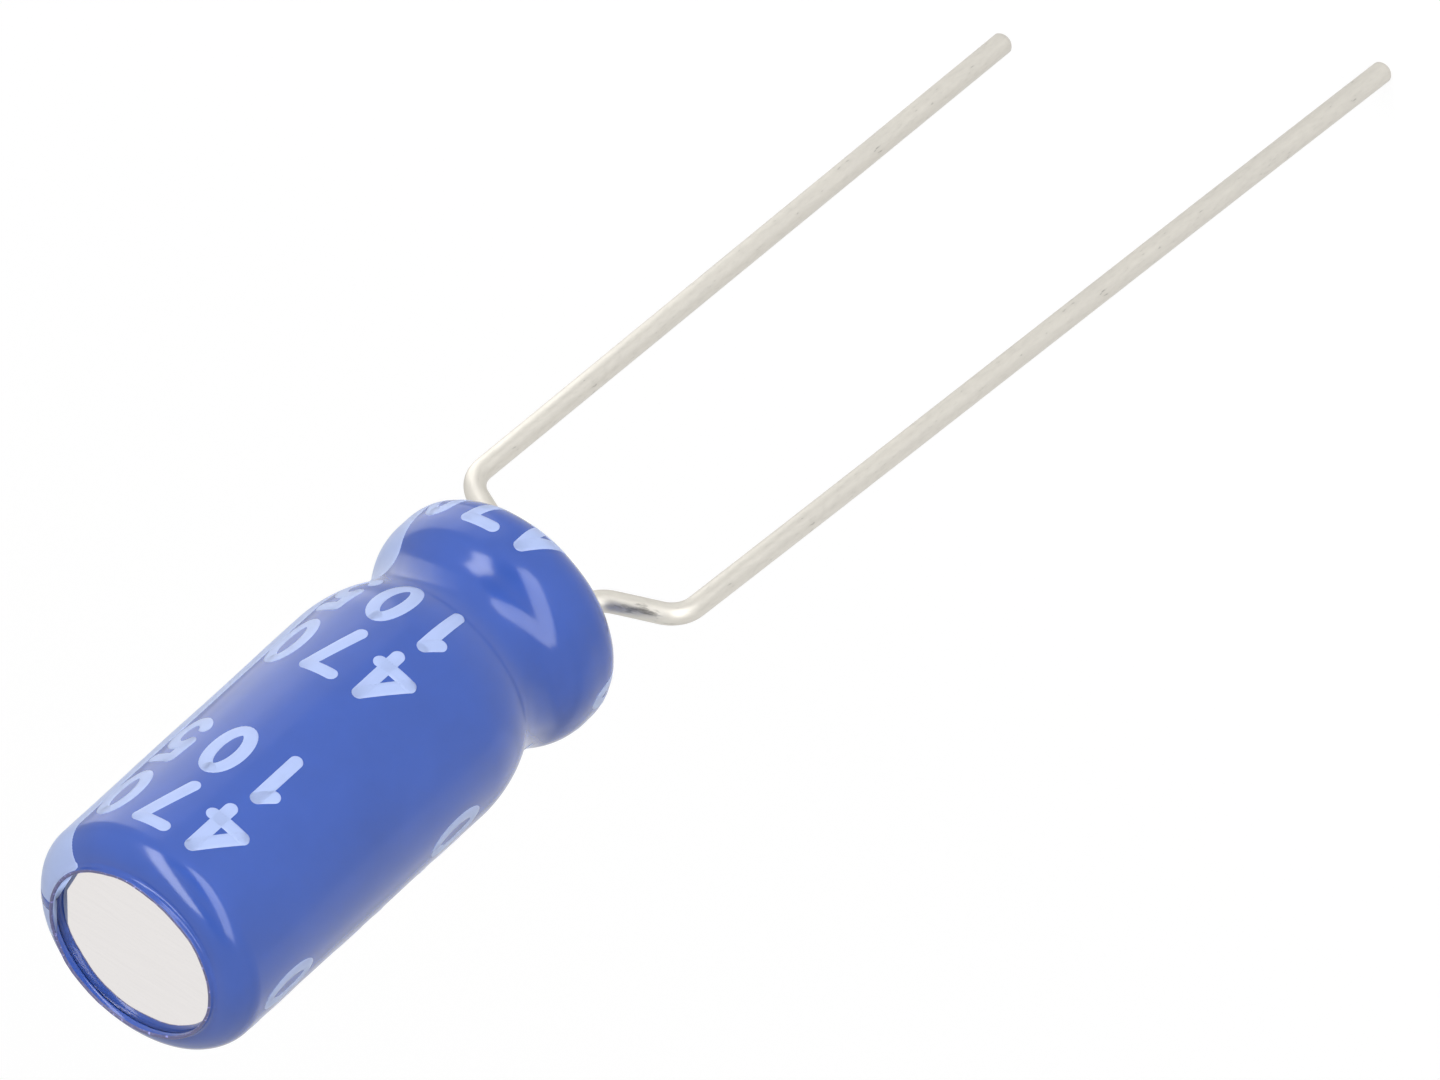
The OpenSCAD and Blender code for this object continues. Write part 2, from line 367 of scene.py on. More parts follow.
def add_piece(name, skins, material, replaces=None, edge=None):
    """One object from closed skins, smooth, riding on the body.

    An edge is a second material and a true or false value for each face that tells where it lies.
    """
    points, faces, base = [], [], 0
    for skin_points, quads, fans in skins:
        points.append(skin_points)
        faces += (quads + base).tolist() + (fans + base).tolist()
        base += len(skin_points)
    mesh = bpy.data.meshes.new(name)
    mesh.from_pydata(np.concatenate(points).tolist(), [], faces)
    mesh.validate()
    mesh.shade_smooth()
    mesh.materials.append(material)
    if edge:
        mesh.materials.append(edge[0])
        mesh.polygons.foreach_set("material_index", edge[1].astype(np.int32))
    piece = bpy.data.objects.new(name, mesh)
    bpy.context.scene.collection.objects.link(piece)
    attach(piece, BODY)
    if replaces:
        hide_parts(replaces)
    return piece


def add_node(tree, kind, inputs, **settings):
    """One shader node with its settings. An input, by name or number, is a socket to link or a constant."""
    node = tree.nodes.new(f"ShaderNode{kind}")
    for name, value in settings.items():
        setattr(node, name, value)
    for key, value in inputs.items():
        if isinstance(value, bpy.types.NodeSocket):
            tree.links.new(value, node.inputs[key])
        else:
            node.inputs[key].default_value = value
    return node


class Finish:
    """A node material: one Principled shader, constants on its sockets and textures on Object coordinates.

    A bent piece can carry its unbent coordinates as an attribute, for textures that follow the bends.
    """

    # Values between which most of a noise lies
    MIDDLE = (0.3, 0.7)

    def __init__(self, name, constants, unbent=None):
        self.material = bpy.data.materials.new(name)
        self.material.use_nodes = True
        self.tree = self.material.node_tree
        self.shader = self.tree.nodes["Principled BSDF"]
        for socket, value in constants.items():
            self.shader.inputs[socket].default_value = value
        if unbent:
            self.place = add_node(self.tree, "Attribute", {}, attribute_name=unbent).outputs["Vector"]
        else:
            self.place = add_node(self.tree, "TexCoord", {}).outputs["Object"]

    def noise(self, grain, detail, stretch=(1, 1, 1)):
        """Noise whose grains are about this long, in metres, or longer along a stretched axis."""
        inputs = {"Vector": self.place, "Scale": [1 / s for s in stretch]}
        mapped = add_node(self.tree, "Mapping", inputs).outputs["Vector"]
        inputs = {"Vector": mapped, "Scale": 1 / grain, "Detail": detail}
        return add_node(self.tree, "TexNoise", inputs).outputs["Fac"]

    def marked(self, factor, attribute, share):
        """The factor plus a share of an attribute that the piece's own points carry."""
        mark = add_node(self.tree, "Attribute", {}, attribute_name=attribute).outputs["Fac"]
        inputs = {0: mark, 1: share, 2: factor}
        return add_node(self.tree, "Math", inputs, operation="MULTIPLY_ADD").outputs["Value"]

    def colours(self, factor, shade, stops):
        """Base colour that runs through the stops as the factor rises.

        Each stop is a place and how many times as light as the shade the colour is there.
        """
        ramp = add_node(self.tree, "ValToRGB", {"Fac": factor})
        first, last = ramp.color_ramp.elements
        for element, (place, light) in zip((first, last), (stops[0], stops[-1])):
            element.position = place
            element.color = (*shaded(shade, light), 1)
        for place, light in stops[1:-1]:
            ramp.color_ramp.elements.new(place).color = (*shaded(shade, light), 1)
        self.tree.links.new(ramp.outputs["Color"], self.shader.inputs["Base Color"])

    def roughness(self, factor, start, stop):
        """Roughness that runs from start to stop as the factor rises through its middle, and on past it."""
        low, high = self.MIDDLE
        inputs = {"Value": factor, "From Min": low, "From Max": high, "To Min": start, "To Max": stop}
        level = add_node(self.tree, "MapRange", inputs, clamp=False)
        self.tree.links.new(level.outputs["Result"], self.shader.inputs["Roughness"])

    def bump(self, factor, depth):
        """Surface relief of the given depth, in metres. A second call lies on top of the first."""
        normal = self.shader.inputs["Normal"]
        inputs = {"Height": factor, "Distance": depth}
        if normal.is_linked:
            inputs["Normal"] = normal.links[0].from_socket
        self.tree.links.new(add_node(self.tree, "Bump", inputs).outputs["Normal"], normal)


def shaded(shade, factor):
    """A colour made lighter or darker by a factor."""
    return tuple(min(1.0, channel * factor) for channel in shade)


def film_finish(colours):
    """Semi-gloss blue film with a faint orange peel."""
    finish = Finish("blue_shrink_film", {"IOR": 1.56})
    cloud = finish.noise(grain=1.6 * MM, detail=4)
    finish.colours(cloud, colours.film, ((0.3, 0.93), (0.7, 1.07)))
    finish.roughness(finish.noise(grain=0.7 * MM, detail=3), start=0.13, stop=0.19)
    finish.bump(finish.noise(grain=0.12 * MM, detail=2), depth=0.0006 * MM)
    return finish.material


def cut_finish(colours):
    """Cut edge of the film: greyer and darker than its faces, with nicks whose pale spots are painted
    glints.
    """
    finish = Finish("cut_film", {"IOR": 1.5})
    nicks_and_glints = finish.noise(grain=0.07 * MM, detail=3)
    # The pale stop at 3.2 times the shade is a painted glint of light on the nicks, not the edge's own
    # colour.
    finish.colours(nicks_and_glints, colours.cut, ((0.35, 0.9), (0.60, 1.0), (0.68, 3.2)))
    finish.roughness(nicks_and_glints, start=0.4, stop=0.6)
    return finish.material


def ink_finish(colours):
    """Pale ink, a little uneven where it was laid thin."""
    finish = Finish("pale_ink", {"IOR": 1.5})
    cover = finish.noise(grain=0.3 * MM, detail=4)
    finish.colours(cover, colours.ink, ((0.22, 0.97), (0.42, 0.995), (0.75, 1.015)))
    finish.roughness(cover, start=0.36, stop=0.30)
    finish.bump(finish.noise(grain=0.08 * MM, detail=2), depth=0.0001 * MM)
    return finish.material


def aluminium_finish(name, shade):
    """Bright drawn aluminium: fine grain one way, a few clouds in its gloss."""
    finish = Finish(name, {"Metallic": 1.0})
    lines = finish.noise(grain=0.05 * MM, detail=4, stretch=(14, 1, 4))
    finish.colours(lines, shade, ((0.25, 0.985), (0.75, 1.015)))
    finish.roughness(finish.noise(grain=0.5 * MM, detail=4), start=0.05, stop=0.08)
    return finish.material


def tin_finish(colours):
    """Tin plate on wire: drawn lines along it, a painted dark reflection where it was bent, dull patches
    and small pits.
    """
    finish = Finish("tin_plate", {"Metallic": 1.0, "Specular Tint": (0.9, 0.9, 0.9, 1)}, unbent="unbent")
    lines = finish.noise(grain=0.07 * MM, detail=6, stretch=(1, 1, 3.5))
    # A share of the mark's attribute pulls the colour into the dark stops: a painted dark reflection, not
    # darker metal.
    with_dark_reflection = finish.marked(lines, "dark_reflection", share=-0.27)
    finish.colours(with_dark_reflection, colours.tin, (
        (0.12, 0.38), (0.27, 0.72), (0.33, 0.96), (0.46, 1.0), (0.70, 1.04),
    ))
    patches = finish.noise(grain=0.5 * MM, detail=4, stretch=(1, 1, 2.5))
    finish.roughness(patches, start=0.52, stop=0.38)
    finish.bump(finish.noise(grain=0.05 * MM, detail=4, stretch=(1, 1, 18)), depth=0.0022 * MM)
    finish.bump(finish.noise(grain=0.14 * MM, detail=3), depth=0.0014 * MM)
    return finish.material


def rubber_finish(colours):
    """Matt moulded rubber with a fine grain and paler dust of talc."""
    finish = Finish("seal_rubber", {"Specular IOR Level": 0.35})
    talc = finish.noise(grain=0.09 * MM, detail=5)
    finish.colours(talc, colours.rubber, ((0.30, 0.75), (0.62, 1.0), (0.78, 2.4)))
    finish.roughness(finish.noise(grain=0.3 * MM, detail=3), start=0.58, stop=0.76)
    finish.bump(finish.noise(grain=0.045 * MM, detail=3), depth=0.0035 * MM)
    return finish.material


def paper_finish(colours):
    """Edges of foil and soaked paper, in thin layers."""
    finish = Finish("winding_paper", {"IOR": 1.45})
    layers = finish.noise(grain=0.06 * MM, detail=4, stretch=(1, 1, 30))
    finish.colours(layers, colours.paper, ((0.3, 0.6), (0.7, 1.15)))
    finish.roughness(layers, start=0.5, stop=0.7)
    finish.bump(layers, depth=0.004 * MM)
    return finish.material


def tape_finish(colours):
    """Glossy amber tape with faint streaks."""
    finish = Finish("fixing_tape", {"IOR": 1.5})
    streaks = finish.noise(grain=0.2 * MM, detail=3, stretch=(1, 1, 0.2))
    finish.colours(streaks, colours.tape, ((0.3, 0.85), (0.7, 1.1)))
    finish.roughness(streaks, start=0.2, stop=0.32)
    finish.bump(streaks, depth=0.001 * MM)
    return finish.material


class CAPACITOR_OT_add_sleeve(bpy.types.Operator):
    """Shrink the film over the can, from its edge under the rim to its free lip at the closed end"""

    bl_idname = "capacitor.add_sleeve"
    bl_label = "Sleeve"

    ROUND = 216
    # Points along the section: up the body, over the tail that ends in the lip, and round each edge
    BODY_STEPS, TAIL_STEPS, EDGE_STEPS = 200, 90, 7
    TAIL_LENGTH = 1.2 * MM

    def execute(self, context):
        """A closed ring of (v, lift) turned about Z: outside, edge of the lip, inside, edge under the rim.

        Each edge is a half circle, and the inside rises towards the outside where the lip thins.
        """
        film = Film(context.scene.capacitor_sleeve)
        sizes = film.sizes
        half, lip_half = sizes.thickness / 2, sizes.lip_edge / 2
        bend = np.linspace(math.pi / 2, -math.pi / 2, self.EDGE_STEPS + 2)[1:-1]
        tail = film.length - self.TAIL_LENGTH
        outer = np.concatenate((
            np.linspace(0, tail, self.BODY_STEPS, endpoint=False),
            np.linspace(tail, film.length, self.TAIL_STEPS),
        ))
        inner = outer[::-2]
        near_lip = np.clip((inner - film.length) / sizes.lip_taper + 1, 0, 1)
        v = np.concatenate((
            outer, film.length + lip_half * np.cos(bend), inner, -half * np.cos(bend),
        ))
        lift = np.concatenate((
            np.zeros(len(outer)), lip_half * np.sin(bend) - lip_half,
            -sizes.thickness + (sizes.thickness - sizes.lip_edge) * near_lip, -half * np.sin(bend) - half,
        ))
        theta = np.linspace(0, 2 * math.pi, self.ROUND, endpoint=False)
        grid = film.at(theta[:, None], v[None, :], lift[None, :])
        colours = context.scene.capacitor_finish
        place = np.arange(len(v))
        cut = (place >= len(outer)) & (place < len(outer) + self.EDGE_STEPS)
        edge = (cut_finish(colours), np.tile(cut, self.ROUND))
        skin = closed_skin(grid, wrap_rows=True)
        add_piece("printed_sleeve", [skin], film_finish(colours), "sleeve", edge)
        return {"FINISHED"}


LINE_STEPS, BOW_STEPS = 12, 40
# Angles of the points round a stroke's end, from its tip inwards
CAP = np.radians(np.linspace(84, 12, 7))
# Places across a stroke, in half widths: its two edges, and the flat top between them
ACROSS = np.array((-1, -0.93, -0.45, 0, 0.45, 0.93, 1))


def line(x0, y0, x1, y1):
    """Straight pen path from one point to another."""
    share = np.linspace(0, 1, LINE_STEPS)
    return np.stack((x0 + (x1 - x0) * share, y0 + (y1 - y0) * share), axis=1)


def bow(x, y, wide, high, start, stop):
    """Pen path along part of an ellipse about (x, y), with its angles in degrees."""
    turn = np.radians(np.linspace(start, stop, BOW_STEPS))
    return np.stack((x + wide * np.cos(turn), y + high * np.sin(turn)), axis=1)


# Pen paths of the figures, in a box one wide and one high
FIGURES = {
    "0": (bow(0.5, 0.5, 0.44, 0.5, 90, 450),),
    "1": (line(0.2, 0.78, 0.52, 1), line(0.52, 1, 0.52, 0)),
    "2": (bow(0.48, 0.7, 0.42, 0.3, 165, -38), line(0.81, 0.515, 0.06, 0), line(0.06, 0, 0.94, 0)),
    "4": (line(0.8, 0, 0.8, 1), line(0.8, 1, -0.08, 0.27), line(-0.08, 0.27, 1.06, 0.27)),
    "5": (line(0.86, 1, 0.2, 1), line(0.2, 1, 0.12, 0.55), bow(0.46, 0.33, 0.44, 0.33, 138, -150)),
    "7": (line(0.04, 1, 0.94, 1), line(0.94, 1, 0.36, 0)),
}


def pen_stroke(path, width):
    """Flat stroke along a path: each point plus its sideways normal times a half width.

    The half width is constant along the path and falls as a half circle beyond its two ends.
    """
    half = width / 2
    first = (path[0] - path[1]) / np.hypot(*(path[0] - path[1]))
    last = (path[-1] - path[-2]) / np.hypot(*(path[-1] - path[-2]))
    middle = np.concatenate((
        path[0] + half * np.sin(CAP)[:, None] * first,
        path,
        path[-1] + half * np.sin(CAP[::-1])[:, None] * last,
    ))
    reach = np.concatenate((half * np.cos(CAP), np.full(len(path), half), half * np.cos(CAP[::-1])))
    run = np.gradient(middle, axis=0)
    run /= np.hypot(run[:, 0], run[:, 1])[:, None]
    side = np.stack((-run[:, 1], run[:, 0]), axis=1)
    return middle, side * reach[:, None]


def laid_ink(film, theta, v, top, base):
    """Closed thin skin of ink: rows of the grid are turned into rings, over the top and back underneath."""
    rise = np.full(theta.shape[1], top)
    rise[[0, -1]] = base / 2
    over = film.at(theta, v, rise[None, :])
    under = film.at(theta, v, np.full_like(rise, base)[None, :])[:, ::-1]
    return closed_skin(np.concatenate((over, under), axis=1))


def stroke_skin(film, path, width, turn_per_length, top, base):
    """Ink along a pen path given as (distance round, length v) in metres."""
    middle, side = pen_stroke(path, width)
    flat = middle[:, None, :] + side[:, None, :] * ACROSS[None, :, None]
    return laid_ink(film, flat[..., 0] * turn_per_length, flat[..., 1], top, base)


class CAPACITOR_OT_add_print(bpy.types.Operator):
    """Print the rows of figures, the polarity stripe and its bars on the film"""

    bl_idname = "capacitor.add_print"
    bl_label = "Print"

    STRIPE_ROWS, STRIPE_COLUMNS = 216, 44
    # Distance of the stripe's ends from the film's edges, in thicknesses of ink
    STRIPE_END = 3
    BARS_PER_REPEAT = 2

    def rows(self, film, sizes):
        """Each row of figures: its text, its start angle and the length v of its foot, over all repeats."""
        columns = (
            (sizes.front_angle, ((sizes.front_upper, 0), (sizes.front_lower, sizes.front_drop))),
            (sizes.side_angle, ((sizes.side_upper, 0), (sizes.side_lower, sizes.side_drop))),
        )
        top = film.length - sizes.top_row - sizes.glyph_h / 2
        for start, lines in columns:
            for text, drop in lines:
                for foot in np.arange(top - drop, 0, -sizes.repeat):
                    yield text, start, foot

    def execute(self, context):
        """Strokes along pen paths for the figures and bars, and a grid of angle and v for the stripe."""
        scene = context.scene
        film, sizes = Film(scene.capacitor_sleeve), scene.capacitor_print
        per_length = 1 / film.sizes.radius
        box = np.array((sizes.glyph_w, sizes.glyph_h))
        figures = []
        for text, start, foot in self.rows(film, sizes):
            for place, figure in enumerate(text):
                corner = np.array((start / per_length + place * sizes.pitch, foot))
                for path in FIGURES[figure]:
                    pen = corner + path * box
                    figures.append(stroke_skin(film, pen, sizes.stroke, per_length, sizes.ink, -sizes.ink))
        ink = ink_finish(scene.capacitor_finish)
        add_piece("printed_figures", figures, ink)

        edge = sizes.ink * self.STRIPE_END
        v = np.linspace(edge, film.length - edge, self.STRIPE_ROWS)[:, None]
        theta = np.linspace(sizes.stripe_start, sizes.stripe_stop, self.STRIPE_COLUMNS)[None, :]
        v, theta = np.broadcast_arrays(v, theta)
        add_piece("polarity_stripe", [laid_ink(film, theta, v, sizes.ink, -sizes.ink)], ink)

        bars, bar_top = [], 2 * sizes.ink
        round_at = sizes.bar_angle / per_length
        for stop in np.arange(film.length - 2 * edge, sizes.bar_l, -sizes.repeat / self.BARS_PER_REPEAT):
            path = line(round_at, stop - sizes.bar_l, round_at, stop - sizes.bar_w / 2)
            bars.append(stroke_skin(film, path, sizes.bar_w, per_length, bar_top, -sizes.ink))
        add_piece("stripe_bars", bars, bpy.data.materials["blue_shrink_film"])
        return {"FINISHED"}


class CAPACITOR_OT_add_leads(bpy.types.Operator):
    """Form the two wires: down from the seal, out to their pitch and down again, with a cut end"""

    bl_idname = "capacitor.add_leads"
    bl_label = "Leads"

    STEP = 0.04 * MM
    ROUND = 40
    # Edges bent by more than this stay sharp
    SHARP = math.radians(35)
    # Half width of the painted dark reflection round the wire, in radians
    DARK_REFLECTION_SPREAD = 0.5

    def path(self, sizes, mount):
        """Middle line of a wire in the XZ plane: the sum of steps along its heading.

        The heading is the angle from straight down. It holds along the straights and turns evenly in the
        bends. The anode's line is also moved outwards by a bow, which eases in over its slant and out along
        its leg.
        """
        start, axis = np.array(mount["pos_m"]), np.array(mount["axis"])
        side = math.copysign(1, start[0])
        lean = math.atan2(side * axis[0], -axis[2])
        leg = mount["dims"]["length_mm"] * MM + sizes.chamfer
        shift = abs(start[0]) - sizes.inner_pitch / 2
        turn_out = sizes.bend_r * (1 + math.cos(lean) - 2 * math.cos(sizes.kink))
        slant = (shift - turn_out) / math.sin(sizes.kink)
        first_bend, second_bend = sizes.bend_r * sizes.kink, sizes.bend_r * (sizes.kink - lean)
        runs = (WELD_Z + sizes.exit_drop, first_bend, slant, second_bend, leg)
        stops = np.concatenate(([0.0], np.cumsum(runs)))
        along = np.append(np.arange(0, stops[-1], self.STEP), stops[-1])
        heading = np.interp(along, stops, (0, 0, sizes.kink, sizes.kink, lean, lean))
        steps = np.diff(along)
        between = (heading[1:] + heading[:-1]) / 2
        x = sizes.inner_pitch / 2 + np.concatenate(([0.0], np.cumsum(steps * np.sin(between))))
        z = WELD_Z - np.concatenate(([0.0], np.cumsum(steps * np.cos(between))))
        if side < 0:
            slant_from, leg_from, leg_to = stops[2], stops[4], stops[5]
            rise = np.clip((along - slant_from) / (leg_from - slant_from), 0, 1)
            fall = np.clip((along - leg_from) / (leg_to - leg_from), 0, 1)
            x = x + sizes.anode_bow * rise**2 * (3 - 2 * rise) * (1 - fall) ** 2 * (1 + 2 * fall)
        return along, side * x, z, side * heading

    def dark_reflection(self, sizes, along, turn):
        """Painted dark reflection at the forming tool's mark: a bell along the wire past its first bend,
        times a bell round it.
        """
        middle = WELD_Z + sizes.exit_drop + sizes.bend_r * sizes.kink + sizes.dark_reflection_at
        bell = np.exp(-(((along - middle) / sizes.dark_reflection_l) ** 2))
        front = np.exp(-(((turn - sizes.dark_reflection_turn) / self.DARK_REFLECTION_SPREAD) ** 2))
        return bell[:, None] * front[None, :]

    def execute(self, context):
        """A circle carried along the middle line, square to its heading, with a chamfer at the cut end."""
        sizes = context.scene.capacitor_leads
        tin = tin_finish(context.scene.capacitor_finish)
        for name, leg in (("anode_lead", "anode_leg"), ("cathode_lead", "cathode_leg")):
            mount = MOUNTS[leg]
            radius = mount["dims"]["r_mm"] * MM
            along, x, z, heading = self.path(sizes, mount)
            left = along[-1] - along
            taper = radius - np.clip(sizes.chamfer - left, 0, sizes.chamfer)
            turn = np.linspace(0, 2 * math.pi, self.ROUND, endpoint=False)
            out, across = np.cos(turn)[None, :], np.sin(turn)[None, :]
            wide = taper[:, None]
            grid = np.stack((
                x[:, None] + wide * out * np.cos(heading)[:, None],
                np.broadcast_to(wide * across, (len(x), self.ROUND)),
                z[:, None] + wide * out * np.sin(heading)[:, None],
            ), axis=-1)
            piece = add_piece(f"formed_{name}", [closed_skin(grid)], tin, name)
            piece.data.set_sharp_from_angle(angle=self.SHARP)
            straight = np.stack(np.broadcast_arrays(wide * out, wide * across, along[:, None]), axis=-1)
            ends = np.array(((0, 0, along[0]), (0, 0, along[-1])))
            unbent = np.concatenate((straight.reshape(-1, 3), ends))
            places = piece.data.attributes.new("unbent", "FLOAT_VECTOR", "POINT")
            places.data.foreach_set("vector", unbent.ravel())
            # Only the anode carries the share of the painted dark reflection, which its tin finish reads.
            if name == "anode_lead":
                dark_reflection_share = piece.data.attributes.new("dark_reflection", "FLOAT", "POINT")
                dark_reflection_share.data.foreach_set("value", np.append(self.dark_reflection(sizes, along, turn), (0.0, 0.0)))
        return {"FINISHED"}


class CAPACITOR_OT_add_dome(bpy.types.Operator):
    """Raise the middle of the can's closed end by a little, as drawing leaves it"""

    bl_idname = "capacitor.add_dome"
    bl_label = "Raised end"

    ROUND, RIM, FLAT = 160, 12, 24
    # How deep its foot lies in the can's end, and how far its middle stands above its edge
    SINK = 0.02 * MM
    BULGE = 0.01 * MM

    def execute(self, context):
        """A profile (r, z) turned about Z: up the side, round the edge, inwards over a shallow parabola."""
        sizes = context.scene.capacitor_sleeve
        flat_r, top = sizes.dome_r - sizes.dome_edge, sizes.can_top + sizes.dome_h
        rim = arc_points((flat_r, top - sizes.dome_edge), sizes.dome_edge, 0, math.pi / 2, self.RIM)
        r = np.linspace(flat_r, flat_r / self.FLAT, self.FLAT)[1:]
        middle = np.stack((r, top + self.BULGE * (1 - (r / flat_r) ** 2)), axis=1)
        profile = np.concatenate(([(sizes.dome_r, sizes.can_top - self.SINK)], rim, middle))
        turn = np.linspace(0, 2 * math.pi, self.ROUND, endpoint=False)
        grid = np.stack((
            profile[:, :1] * np.cos(turn), profile[:, :1] * np.sin(turn),
            np.broadcast_to(profile[:, 1:], (len(profile), self.ROUND)),
        ), axis=-1)
        material = aluminium_finish("end_aluminium", context.scene.capacitor_finish.aluminium)
        add_piece("raised_end", [closed_skin(grid)], material)
        return {"FINISHED"}


class CAPACITOR_OT_finish_solids(bpy.types.Operator):
    """Give the can, the seal and the pieces inside their finishes"""

    bl_idname = "capacitor.finish_solids"
    bl_label = "Finishes of the solids"

    TAB_SHADE = 0.9

    def execute(self, context):
        colours = context.scene.capacitor_finish
        tab = aluminium_finish("tab_aluminium", shaded(colours.aluminium, self.TAB_SHADE))
        finishes = {
            "can": aluminium_finish("can_aluminium", colours.aluminium),
            "end_seal": rubber_finish(colours),
            "winding": paper_finish(colours),
            "fixing_tape": tape_finish(colours),
            "anode_tab": tab,
            "cathode_tab": tab,
        }
        for node, material in finishes.items():
            slots = frame["nodes"][node].data.materials
            slots.clear()
            slots.append(material)
        return {"FINISHED"}


def background_share(tree):
    """One where a ray comes from the camera, a reflection or a transmission, and nought elsewhere."""
    path = add_node(tree, "LightPath", {})
    share = path.outputs["Is Camera Ray"]
    for other in ("Is Glossy Ray", "Is Transmission Ray"):
        inputs = {0: share, 1: path.outputs[other]}
        share = add_node(tree, "Math", inputs, operation="MAXIMUM").outputs["Value"]
    return share


def mix_shaders(tree, share, first, second):
    """The first shader where the share is nought, and the second where it is one."""
    return add_node(tree, "MixShader", {"Fac": share, 1: first, 2: second}).outputs["Shader"]


def add_softbox(name, target, away, up, wide, high, brightness, gloss):
    """Area lamp at a distance and direction from the target, which it faces, with its height along up.

    Its power is its brightness times pi times its area. It either shows in reflections or lights evenly.
    """
    lamp = bpy.data.lights.new(name, "AREA")
    lamp.shape = "RECTANGLE"
    lamp.size, lamp.size_y = wide, high
    lamp.energy = brightness * math.pi * wide * high
    box = bpy.data.objects.new(name, lamp)
    back = away.normalized()
    side = up.cross(back).normalized()
    turn = Matrix((side, back.cross(side), back)).transposed().to_4x4()
    box.matrix_world = Matrix.Translation(target + away) @ turn
    box.visible_camera = False
    box.visible_glossy = gloss
    box.visible_diffuse = not gloss
    bpy.context.scene.collection.objects.link(box)


class CAPACITOR_OT_set_stage(bpy.types.Operator):
    """Set up the camera, the pale floor and the soft light"""

    bl_idname = "capacitor.set_stage"
    bl_label = "Stage"

    FLOOR_HALF = 1.5
    FLOOR_GAP = 0.02 * MM
    FLOOR_WHITE = (0.93, 0.93, 0.93, 1)
    # Distances from the origin between which the floor that shows in reflections falls off
    SHEET_EDGE, SHEET_END = 28 * MM, 42 * MM
    # Angles from the camera between which the darker room behind it gives way to white
    ROOM_EDGE, ROOM_END = math.radians(25), math.radians(55)
    # The key softbox: its place from the middle of the axis, and its width and height
    KEY_AWAY, KEY_SIZE = Vector((-50, -230, 180)) * MM, (450 * MM, 160 * MM)
    # Each strip: its direction along the camera's right, up and back, its distance, its width and height
    LEFT_STRIP = ((-0.485, 0.115, 0.867), 300 * MM, (100 * MM, 470 * MM))
    RIGHT_STRIP = ((0.5, 0.1, 0.86), 85 * MM, (33 * MM, 125 * MM))
    # Start and stop of each low card round the axis from +X, in degrees, and its share of brightness.
    # Those on the cathode side overlap to make a soft edge.
    LOW_CARDS = ((-58, 14, 1), (-42, 14, 1), (-34, 2, 1), (110, 160, 0.5))
    LOW_DIP = math.radians(34)
    LOW_AWAY, LOW_HEIGHT = 35 * MM, 19 * MM
    AXIS = Vector((0, 0, 1))

    def camera_axes(self, stage):
        """The camera's right, up and backward directions, turned by azimuth, elevation and roll."""
        a, e, roll = stage.azimuth, stage.elevation, stage.roll
        back = Vector((math.sin(a) * math.cos(e), -math.cos(a) * math.cos(e), math.sin(e)))
        level = Vector((math.cos(a), math.sin(a), 0))
        upright = back.cross(level)
        right = math.cos(roll) * level + math.sin(roll) * upright
        return right, back.cross(right), back

    def add_camera(self, scene, stage):
        """Camera with a long lens, aimed so that the middle of the axis falls on its pixel."""
        right, up, back = self.camera_axes(stage)
        pixel = stage.view_w / PHOTO_W
        aim = Vector((0, 0, stage.axis_mid))
        aim += right * (PHOTO_W / 2 - AXIS_PIXEL[0]) * pixel
        aim += up * (AXIS_PIXEL[1] - PHOTO_H / 2) * pixel
        camera = bpy.data.cameras.new("camera")
        camera.lens = stage.lens
        stand = bpy.data.objects.new("camera", camera)
        place = aim + back * (stage.view_w * stage.lens / camera.sensor_width)
        stand.matrix_world = Matrix.Translation(place) @ Matrix((right, up, back)).transposed().to_4x4()
        scene.collection.objects.link(stand)
        scene.camera = stand

    def far_share(self, tree):
        """For a reflected ray, nought on the floor near the part and one past the end of a white sheet."""
        place = add_node(tree, "TexCoord", {}).outputs["Object"]
        away = add_node(tree, "VectorMath", {0: place}, operation="LENGTH").outputs["Value"]
        inputs = {"Value": away, "From Min": self.SHEET_EDGE, "From Max": self.SHEET_END}
        fall = add_node(tree, "MapRange", inputs).outputs["Result"]
        reflected = add_node(tree, "LightPath", {}).outputs["Is Glossy Ray"]
        return add_node(tree, "Math", {0: fall, 1: reflected}, operation="MULTIPLY").outputs["Value"]

    def add_floor(self, scene, stage):
        """Wide flat floor under the lowest point. It shows as white and keeps a share of its shadow."""
        z = CAD_BOX[0].z - self.FLOOR_GAP
        ends = np.array((-self.FLOOR_HALF, self.FLOOR_HALF))
        x, y = np.meshgrid(ends, ends)
        points = np.stack((x, y, np.full_like(x, z)), axis=-1).reshape(-1, 3)
        mesh = bpy.data.meshes.new("floor")
        mesh.from_pydata(points.tolist(), [], [(0, 1, 3, 2)])
        material = bpy.data.materials.new("pale_floor")
        material.use_nodes = True
        tree = material.node_tree
        tree.nodes.clear()
        lit = add_node(tree, "BsdfDiffuse", {"Color": self.FLOOR_WHITE}).outputs["BSDF"]
        near, far = (
            add_node(tree, "Emission", {"Strength": stage.white * share}).outputs["Emission"]
            for share in (1, stage.far_floor)
        )
        white = mix_shaders(tree, self.far_share(tree), near, far)
        inputs = {0: background_share(tree), 1: 1 - stage.shadow}
        shown = add_node(tree, "Math", inputs, operation="MULTIPLY").outputs["Value"]
        add_node(tree, "OutputMaterial", {"Surface": mix_shaders(tree, shown, lit, white)})
        mesh.materials.append(material)
        floor = bpy.data.objects.new("floor", mesh)
        scene.collection.objects.link(floor)

